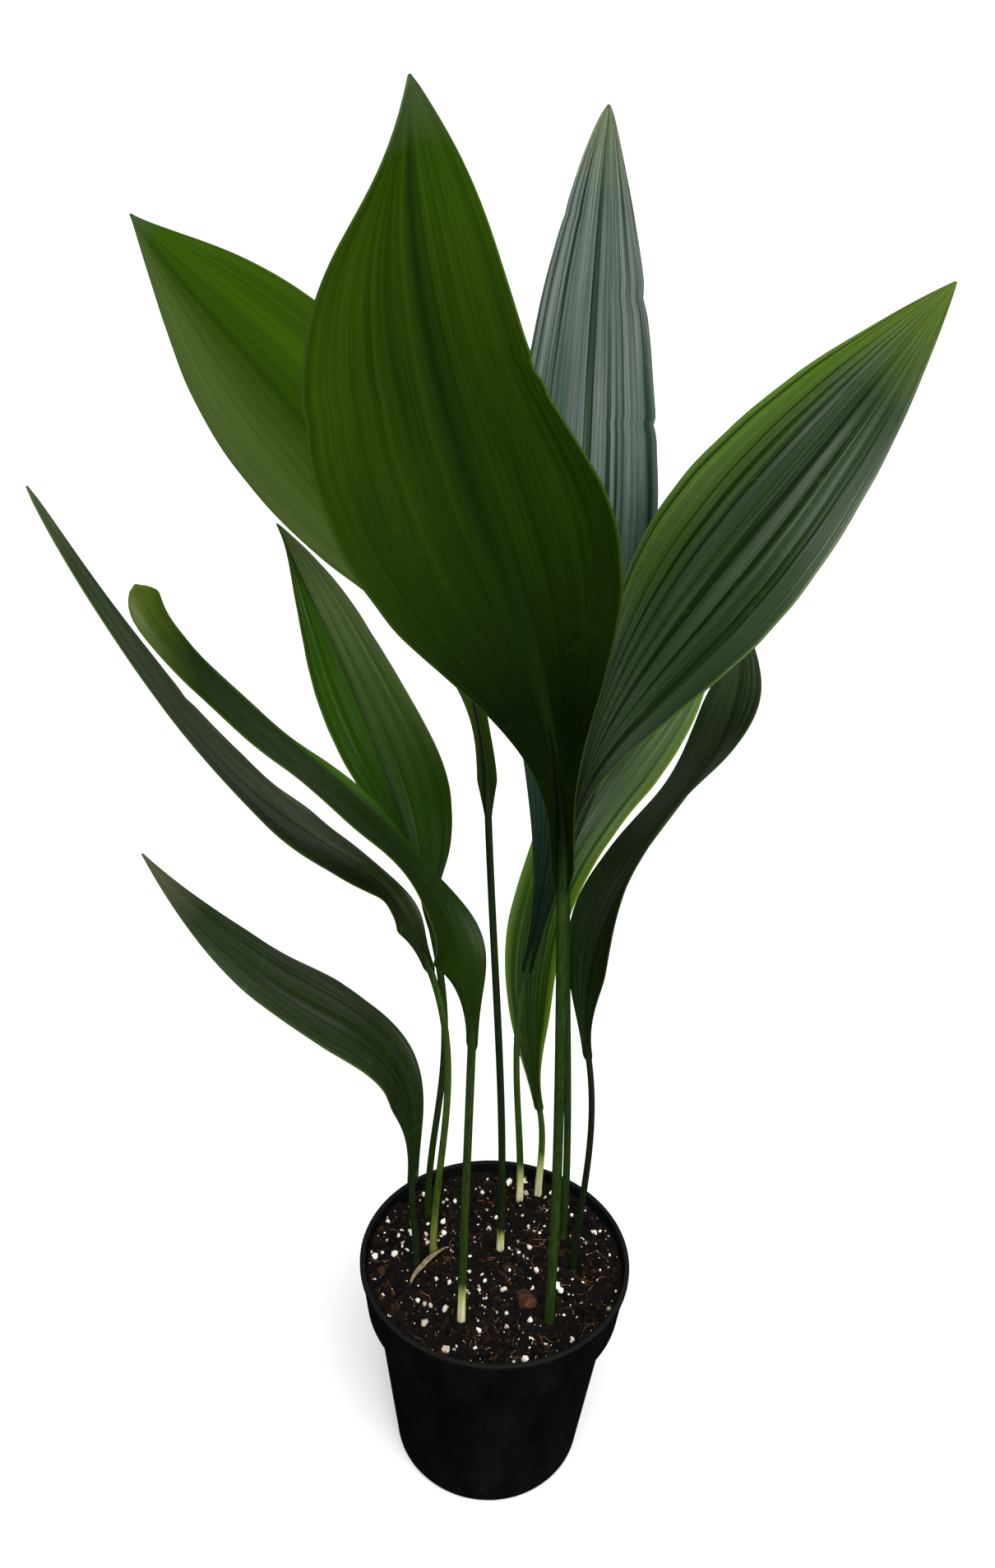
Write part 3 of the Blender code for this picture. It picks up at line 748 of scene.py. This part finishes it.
for name, leaf in LEAVES.items():
    bm = bmesh.new()
    height = bm.verts.layers.float.new("height")
    on_blade = bm.verts.layers.float.new("on_blade")
    rings = stalk_rings(name, leaf)
    for vert in add_tube(bm, rings, STALK_SIDES, grooved):
        vert[height] = vert.co.z - SOIL_TOP * MM
        nearest = min(range(len(rings)), key=lambda number: (rings[number][0] * MM - vert.co).length_squared)
        vert[on_blade] = min(1.0, max(0.0, (nearest - BLEND_START) / BLEND_RINGS))
    look = {**PLAIN_LOOK, **LOOKS[name]}
    skin = stalk_skin(name, *STALK_LOOKS[name], look["base"])
    add_piece(bm, f"leaf_stem_{name}", (skin,), "leaf_stalk", f"{name}_stalk")

# %% [markdown]
# ## Pot
#
# A nursery pot is thin polypropylene, injection moulded in one shot: a tapering body, a wider collar so that
# pots nest without jamming, and a rolled lip. It is a turned shape, so half of its section is drawn as a few
# points and spun about the pot's axis. A bevel then rounds each corner of the section, as the mould does. The
# height, the collar and the three radii under the rim came out of the same fit as the camera, rounded.

# %% Pot section and body
RIM_RADIUS = 75.0
RIM_HEIGHT = 137.0
LIP_HEIGHT = 3.5
COLLAR_HEIGHT = 30.0
COLLAR_FOOT_RADIUS = 71.0
BODY_TOP_RADIUS = 65.7
BASE_RADIUS = 53.0
WALL = 1.6
FLOOR_THICKNESS = 2.0
SPIN_STEPS = 128


def turned(profile):
    """Spins a profile of (radius, height) points, in millimetres, once round the Z axis."""
    bm = bmesh.new()
    points = [bm.verts.new((radius * MM, 0, height * MM)) for radius, height in profile]
    lines = [bm.edges.new(pair) for pair in zip(points, points[1:])]
    bmesh.ops.spin(
        bm, geom=points + lines, axis=(0, 0, 1), cent=(0, 0, 0), angle=2 * pi, steps=SPIN_STEPS, use_merge=True
    )
    bmesh.ops.remove_doubles(bm, verts=bm.verts, dist=1e-5)
    bmesh.ops.recalc_face_normals(bm, faces=bm.faces)
    return bm


def ring_edges(bm, radius, height):
    """The edges of the ring at this radius and height."""
    found = []
    for edge in bm.edges:
        ends = [(sqrt(vert.co.x**2 + vert.co.y**2), vert.co.z) for vert in edge.verts]
        if all(abs(r - radius * MM) < 1e-5 and abs(z - height * MM) < 1e-5 for r, z in ends):
            found.append(edge)
    return found


shelf = RIM_HEIGHT - COLLAR_HEIGHT
under_lip = RIM_HEIGHT - LIP_HEIGHT
collar_top = RIM_RADIUS - 1.0
pot_corners = [
    # radius, height, rounding
    (0, FLOOR_THICKNESS + 1.0, 0),
    (20, FLOOR_THICKNESS + 1.0, 0.5),
    (22, FLOOR_THICKNESS, 0.5),
    (BASE_RADIUS - WALL, FLOOR_THICKNESS, 1.2),
    (BODY_TOP_RADIUS - WALL, shelf - 2, 0.6),
    (COLLAR_FOOT_RADIUS - WALL, shelf + WALL, 0.6),
    (collar_top - WALL, RIM_HEIGHT, 0.7),
    (RIM_RADIUS, RIM_HEIGHT, 0.9),
    (RIM_RADIUS, under_lip, 0.5),
    (collar_top, under_lip, 0.25),
    (COLLAR_FOOT_RADIUS, shelf, 0.8),
    (BODY_TOP_RADIUS, shelf - 1.6, 0.7),
    (BASE_RADIUS + 0.4, 3.5, 0.6),
    (BASE_RADIUS - 1.5, 0, 0.9),
    (BASE_RADIUS - 5, 0, 0.4),
    (BASE_RADIUS - 6, 0.8, 0.4),
    (0, 0.8, 0),
]
pot_bm = turned([corner[:2] for corner in pot_corners])
for radius, height, rounding in pot_corners:
    if rounding:
        bmesh.ops.bevel(
            pot_bm, geom=ring_edges(pot_bm, radius, height), offset=rounding * MM, offset_type="OFFSET",
            affect="EDGES", segments=3, profile=0.5, material=-1,
        )
print("pot section of", len(pot_corners), "corners,", len(pot_bm.faces), "faces after rounding")

# %% [markdown]
# Water leaves through holes in the floor of the pot. Cutting them with a Boolean keeps the turned floor flat
# round each hole, and the result is made the pot's mesh, so the cutters can go.

# %% Drain holes
DRAIN_COUNT = 8
DRAIN_CIRCLE = 38.0
DRAIN_RADIUS = 4.5

cutters_bm = bmesh.new()
for index in range(DRAIN_COUNT):
    turn = 2 * pi * index / DRAIN_COUNT
    made = bmesh.ops.create_cone(
        cutters_bm, cap_ends=True, segments=32, radius1=DRAIN_RADIUS * MM, radius2=DRAIN_RADIUS * MM, depth=12 * MM
    )
    bmesh.ops.translate(
        cutters_bm, verts=made["verts"], vec=(DRAIN_CIRCLE * MM * cos(turn), DRAIN_CIRCLE * MM * sin(turn), 1 * MM)
    )
blank = new_object(pot_bm, "pot_blank")
drills = new_object(cutters_bm, "drain_drills")
drilling = blank.modifiers.new("drain_holes", "BOOLEAN")
drilling.operation = "DIFFERENCE"
drilling.solver = "EXACT"
drilling.object = drills
bpy.context.view_layer.update()
drilled = bpy.data.meshes.new_from_object(blank.evaluated_get(bpy.context.evaluated_depsgraph_get()))
pot_bm = bmesh.new()
pot_bm.from_mesh(drilled)
bpy.data.objects.remove(blank)
bpy.data.objects.remove(drills)
print(DRAIN_COUNT, "holes drilled,", len(pot_bm.faces), "faces")

# %% [markdown]
# ## Pot skin
#
# Recycled black polypropylene is never quite black: the mould leaves a fine grain, handling leaves soft scuffs,
# and pale dust of dried splashes stays low on the body. The top of the lip is a little greyer. All of it is drawn
# on Object coordinates, because nothing here follows a seam or a weave.

# %% Moulded black polypropylene
GRAIN = 0.4 * MM
# How far down the lip is greyer, and how far up the body dust lies, in millimetres.
GREY_LIP_DEPTH = 1.5
DUST_HEIGHT = 60


def moulded_polypropylene():
    """Matt black moulded plastic with grain, scuffs, dust and a greyer lip top."""
    skin, tree, shader = new_skin("moulded_black_polypropylene", Specular_IOR_Level=0.04)
    place = add_node(tree, "TexCoord").outputs["Object"]
    height = add_node(tree, "SeparateXYZ", {"Vector": place}).outputs["Z"]
    grain = add_node(tree, "TexNoise", {"Vector": place, "Scale": 1 / GRAIN, "Detail": 2.0})
    scuff_map = add_node(tree, "Mapping", {"Vector": place, "Scale": (60, 60, 14)}).outputs[0]
    scuffing = {"Vector": scuff_map, "Scale": 1.0, "Detail": 6.0, "Roughness": 0.7}
    scuffs = add_node(tree, "TexNoise", scuffing).outputs[0]
    specks = add_node(tree, "TexNoise", {"Vector": place, "Scale": 700.0, "Detail": 3.0}).outputs[0]
    ranges = {
        "grey_lip_top": (height, (RIM_HEIGHT - GREY_LIP_DEPTH) * MM, RIM_HEIGHT * MM, 0, 0.6),
        "dust": (specks, 0.68, 0.78, 0, 0.5),
        "low": (height, 0.0, DUST_HEIGHT * MM, 1, 0.1),
        "roughness": (scuffs, 0.3, 0.7, 0.55, 0.72),
    }
    shares = {}
    for kind, (value, low, high, at_low, at_high) in ranges.items():
        limits = {"Value": value, "From Min": low, "From Max": high, "To Min": at_low, "To Max": at_high}
        shares[kind] = add_node(tree, "MapRange", limits).outputs[0]
    dusty = add_node(tree, "Math", {0: shares["dust"], 1: shares["low"]}, operation="MULTIPLY").outputs[0]
    colour = add_node(tree, "ValToRGB", {"Fac": scuffs}, stops=((0.35, "#020303"), (0.75, "#0a0c0b"))).outputs[0]
    for amount, tone in ((shares["grey_lip_top"], "#1b1b19"), (dusty, "#5a554c")):
        mixing = {FACTOR: amount, COLOUR_A: colour, COLOUR_B: linear(tone)}
        colour = add_node(tree, "Mix", mixing, data_type="RGBA").outputs[MIXED]
    bump = add_node(tree, "Bump", {"Height": grain.outputs[0], "Strength": 0.25, "Distance": 0.1 * MM})
    fill(tree, shader, {"Base Color": colour, "Roughness": shares["roughness"], "Normal": bump.outputs[0]})
    return skin


pot_piece = add_piece(pot_bm, "nursery_pot", (moulded_polypropylene(),), "pot_plastic", "pot")
for polygon in pot_piece.data.polygons:
    polygon.use_smooth = abs(polygon.normal.z) < 0.98

# %% [markdown]
# ## Soil
#
# The mix is peat and coir with perlite. Its body fills the pot, so it is turned like the pot, and only its top
# shows. That top is lumpy at two scales: soft mounds where it was pressed down, and crumbs. The mounds are the
# body's own relief. The crumbs, the perlite and the fibres are separate grains, scattered over it.

# %% Soil body
SOIL_GAP = 0.4
SOIL_RINGS = 60
NOSE_SPOT = Vector((19, -23, 0))
soil_edge = collar_top - WALL - SOIL_GAP - 0.6


def soil_height(x, y):
    """Height of the soil's top at a place, all in millimetres."""
    spot = Vector((x, y, 0))
    mounds = 1.6 * noise.noise(spot / 17) + 1.2 * noise.noise(spot / 7 + Vector((5, 5, 5)))
    crumbs = 1.0 * noise.noise(spot / 2.6) + 0.6 * noise.noise(spot / 1.2)
    hollow = -9 * max(0.0, noise.noise(spot / 7 + Vector((9, 2, 4))) - 0.16)
    bank = 4.0 * (spot.length / soil_edge) ** 7
    around_nose = -3.0 * exp(-(((spot - NOSE_SPOT).length / 7) ** 2))
    return SOIL_TOP + mounds + crumbs + hollow + bank + around_nose


soil_profile = [(soil_edge * ring / SOIL_RINGS, SOIL_TOP) for ring in range(SOIL_RINGS + 1)]
soil_profile += [
    (COLLAR_FOOT_RADIUS - WALL - SOIL_GAP, shelf + WALL + 1),
    (BODY_TOP_RADIUS - WALL - SOIL_GAP, shelf - 2.5),
    (BASE_RADIUS - WALL - 1.6, FLOOR_THICKNESS + 2),
    (BASE_RADIUS - WALL - 3, FLOOR_THICKNESS + 1.6),
    (0, FLOOR_THICKNESS + 1.6),
]
soil_bm = turned(soil_profile)
for vert in soil_bm.verts:
    if vert.co.z > (SOIL_TOP - 0.1) * MM:
        vert.co.z = soil_height(vert.co.x / MM, vert.co.y / MM) * MM
print("soil top has", SOIL_RINGS, "rings")

# %% [markdown]
# Wet peat is nearly black in its hollows and red-brown where it dries. A ramp over layered noise gives both,
# and a strong bump breaks up what the mesh is too coarse to hold.

# %% Peat and coir skin
# Where the colours lie on the ramp, dark, pale and middle. pores: how fine, detailed and rough the noise is. bump:
# its strength, and its height in millimetres.
PEAT_PLACES = (0.32, 0.72, 0.52)
PEAT_PORES = (260.0, 8.0, 0.75)
PEAT_BUMP = (0.9, 1.0)
PEAT_VALUES = {"Roughness": 0.95, "Specular_IOR_Level": 0.15}


def crumbly_skin(name, colours, tone=None, places=PEAT_PLACES, pores=PEAT_PORES, bump=PEAT_BUMP, **values):
    """Crumbly matter. Grains carry a tone attribute, so that no two neighbours match."""
    skin, tree, shader = new_skin(name, **{**PEAT_VALUES, **values})
    place = add_node(tree, "TexCoord").outputs["Object"]
    scale, detail, roughness = pores
    noise_values = {"Vector": place, "Scale": scale, "Detail": detail, "Roughness": roughness}
    lumps = share = add_node(tree, "TexNoise", noise_values).outputs[0]
    if tone:
        own = add_node(tree, "Attribute", attribute_name=tone).outputs["Fac"]
        share = add_node(tree, "Math", {0: share, 1: own}, operation="ADD").outputs[0]
        share = add_node(tree, "Math", {0: share, 1: 0.5}, operation="MULTIPLY").outputs[0]
    ramp = add_node(tree, "ValToRGB", {"Fac": share}, stops=tuple(zip(places, colours)))
    strength, height = bump
    raised = add_node(tree, "Bump", {"Height": lumps, "Strength": strength, "Distance": height * MM})
    fill(tree, shader, {"Base Color": ramp.outputs[0], "Normal": raised.outputs[0]})
    return skin


peat = crumbly_skin("damp_peat_and_coir", ("#020101", "#20140c", "#0a0603"))
add_piece(soil_bm, "potting_soil", (peat,), "potting_mix", "soil")

# %% [markdown]
# ## Rhizomes
#
# A rhizome is a stem that grows sideways, ringed with the scars of old scales. Here they lie under the soil,
# and one nose of the middle one has pushed out of it. They use the same tube as the stalks, with a radius that
# swells at each joint and pinches at each ring.

# %% Rhizomes
RHIZOME_RADIUS = 5.5
RHIZOME_LEVEL = 113
# Points along each one: x, y, the radius as a share of the full one, and the height where it isn't the usual one.
RHIZOMES = {
    "left_rhizome": (
        (-36, 49, 0.7), (-40, 40, 1.1), (-41, 24, 0.9), (-40, 6, 1.25), (-31, -18, 0.9), (-17, -37, 1.1),
        (-6, -46, 0.6),
    ),
    "middle_rhizome": (
        (20, -24, 1.0, 124), (13, -10, 1.0, 120), (7, 3, 0.9, 115), (3, 14, 1.1), (7, 34, 0.85), (13, 53, 0.9),
    ),
    "right_rhizome": (
        (20, -46, 0.6), (30, -36, 1.1), (40, -18, 0.85), (44, 0, 1.1), (44, 14, 0.85), (39, 27, 1.1),
        (34, 45, 0.8), (25, 57, 0.85),
    ),
}
RHIZOME_SIDES = 24
RINGS_PER_SPAN = 9


def rhizome_rings(points):
    """Rings along straight spans between the points, rounded off at both ends."""
    rings = []
    places = [Vector((x, y, *(height or [RHIZOME_LEVEL]))) for x, y, _, *height in points]
    spans = len(points) - 1
    for number in range(spans * RINGS_PER_SPAN + 1):
        span = min(number // RINGS_PER_SPAN, spans - 1)
        share = number / RINGS_PER_SPAN - span
        start, end = places[span : span + 2]
        first, second = points[span][2], points[span + 1][2]
        centre = start.lerp(end, share)
        heading = (end - start).normalized()
        scar = 0.94 if number % 3 == 0 else 1.0
        radius = RHIZOME_RADIUS * (first + (second - first) * share) * scar
        rings.append((centre, heading, Vector((0, 0, 1)), radius))
    for place, sign in ((0, -1), (-1, 1)):
        centre, heading, upward, radius = rings[place]
        caps = [(centre + heading * sign * 1.6, heading, upward, radius * 0.8)]
        caps.append((centre + heading * sign * 2.4, heading, upward, radius * 0.35))
        rings = rings + caps if sign > 0 else caps[::-1] + rings
    return rings


bark = crumbly_skin("scaly_rhizome_bark", ("#1c100a", "#684730", "#40281a"))
for name, points in RHIZOMES.items():
    bm = bmesh.new()
    offset = len(name)  # a different stretch of noise for each

    def knobbly(angle, number):
        return 1 + 0.10 * noise.noise(Vector((3 * cos(angle), 3 * sin(angle), number * 0.4 + offset)))

    add_tube(bm, rhizome_rings(points), RHIZOME_SIDES, knobbly)
    add_piece(bm, "creeping_" + name, (bark,), "rhizome_bark", name)

# %% [markdown]
# ## Crumbs, perlite and fibres
#
# Perlite is volcanic glass popped by heat, so its grains are white, light and angular, from dust up to about
# 5 mm. Peat crumbs are dark and round, bark chips flat, and coir leaves thin strands. A particle system could
# scatter them, but a plain seeded loop is the same on every run. Each grain starts as an icosahedron of
# 20 faces, is squashed and knocked out of shape, and sits half sunk in the soil, clear of the stalks.

# %% Scatter grains
spread = random.Random(11)
FEET = [(Vector(leaf["foot"]), leaf["stalk"][0]) for leaf in LEAVES.values()]
NOSE = (NOSE_SPOT.xy, 6.0)


def free_spot(size, most=None):
    """A random place on the soil where a grain of this size touches no stalk, no rhizome and not the pot."""
    while True:
        turn = spread.uniform(0, 2 * pi)
        radius = (most or soil_edge - 0.5 - size) * sqrt(spread.random())
        spot = Vector((radius * cos(turn), radius * sin(turn)))
        if all((spot - foot).length > stalk * 1.3 + size for foot, stalk in [*FEET, NOSE]):
            return spot


def scatter(name, skin, count, sizes, squash, sink, knock):
    """Sharp grains of random size, turn and tone in one piece. sink is the share that lies under the surface."""
    bm = bmesh.new()
    tone = bm.verts.layers.float.new("tone")
    for _ in range(count):
        size = sizes[0] + (sizes[1] - sizes[0]) * spread.random() ** 2.2
        spot = free_spot(size)
        grain = bmesh.ops.create_icosphere(bm, subdivisions=1, radius=1)["verts"]
        stretch = Vector([spread.uniform(squash, 1) for _ in range(3)])
        turn = Matrix.Rotation(spread.uniform(0, 2 * pi), 3, "Z") @ Matrix.Rotation(spread.uniform(-0.6, 0.6), 3, "X")
        level = soil_height(*spot) + size * stretch.z * (1 - 2 * sink)
        shade = spread.random()
        for vert in grain:
            knocked = vert.co * (1 + spread.uniform(-knock, knock))
            vert.co = (turn @ (knocked * stretch * size) + Vector((*spot, level))) * MM
            vert[tone] = shade
    add_piece(bm, name, (skin,), "potting_mix").data.shade_flat()


crumb_skin = crumbly_skin("loose_peat_crumbs", ("#020101", "#26180e", "#0b0603"), "tone")
scatter("peat_crumbs", crumb_skin, 2200, (0.4, 2.4), 0.5, 0.3, 0.35)
chip_skin = crumbly_skin("shredded_bark", ("#060301", "#38240f", "#170d07"), "tone")
scatter("bark_chips", chip_skin, 320, (1.0, 3.2), 0.22, 0.3, 0.3)

# %% Perlite
# Chalk-white glass foam, dusty with peat in its pores.
white_grains = crumbly_skin(
    "expanded_perlite",
    ("#6f6252", "#fbf5ec", "#b3a797", "#e2d9cd"),
    "tone",
    places=(0.15, 0.75, 0.30, 0.48),
    pores=(900.0, 5.0, 0.7),
    bump=(0.6, 0.4),
    Roughness=0.9,
    Specular_IOR_Level=0.2,
)
scatter("perlite_fine", white_grains, 420, (0.3, 1.1), 0.5, 0.3, 0.3)
scatter("perlite_coarse", white_grains, 110, (1.2, 3.0), 0.5, 0.3, 0.3)

# %% Fibres
FIBRE_COUNT = 260
FIBRE_RINGS = 6
FIBRE_SIDES = 5
fibre_bm = bmesh.new()
fibre_tone = fibre_bm.verts.layers.float.new("tone")
for _ in range(FIBRE_COUNT):
    length = spread.uniform(4, 15)
    spot = free_spot(length / 2, most=soil_edge - length / 2 - 1)
    turn = spread.uniform(0, 2 * pi)
    bend = spread.uniform(-0.8, 0.8)
    thickness = spread.uniform(0.12, 0.32)
    shade = spread.random()
    rings = []
    for number in range(FIBRE_RINGS):
        share = number / (FIBRE_RINGS - 1) - 0.5
        angle = turn + bend * share
        flat = spot + Vector((cos(angle), sin(angle))) * length * share
        level = soil_height(*flat) + 0.5 + 0.8 * (0.25 - share * share)
        heading = Vector((cos(angle), sin(angle), 0))
        taper = 0.4 if number in (0, FIBRE_RINGS - 1) else 1.0
        rings.append((Vector((*flat, level)), heading, Vector((0, 0, 1)), thickness * taper))
    for vert in add_tube(fibre_bm, rings, FIBRE_SIDES):
        vert[fibre_tone] = shade
fibre_skin = crumbly_skin("coir_fibre", ("#130a05", "#7a5836", "#33200f"), "tone")
add_piece(fibre_bm, "coir_fibres", (fibre_skin,), "potting_mix")

# %% [markdown]
# One old leaf sheath has dried to a pale strap and lies between the left stalks. It is a flattened tube too.

# %% Dry sheath
SHEATH_PATH = ((-28, 12), (-36, 1), (-44, -7), (-46, -15))
SHEATH_RINGS = 16
SHEATH_SIDES = 12
rings = []
for number in range(SHEATH_RINGS):
    share = number / (SHEATH_RINGS - 1)
    flat, heading = cubic([(*spot, 0) for spot in SHEATH_PATH], share)
    level = max(soil_height(flat.x + dx, flat.y + dy) for dx in (-1.5, 0, 1.5) for dy in (-1.5, 0, 1.5))
    flat.z = level + 0.9 + 2.5 * sin(pi * share)
    rings.append((flat, heading, Vector((0, 0, 1)), 0.25 + 1.3 * sin(pi * (0.08 + 0.84 * share))))


def flattened(angle, number):
    return 0.3 + 0.7 * abs(cos(angle))


sheath_bm = bmesh.new()
add_tube(sheath_bm, rings, SHEATH_SIDES, flattened)
straw = crumbly_skin("dry_leaf_sheath", ("#4c4330", "#a5997a", "#7e7252"))
add_piece(sheath_bm, "dry_sheath", (straw,), "leaf_stalk")
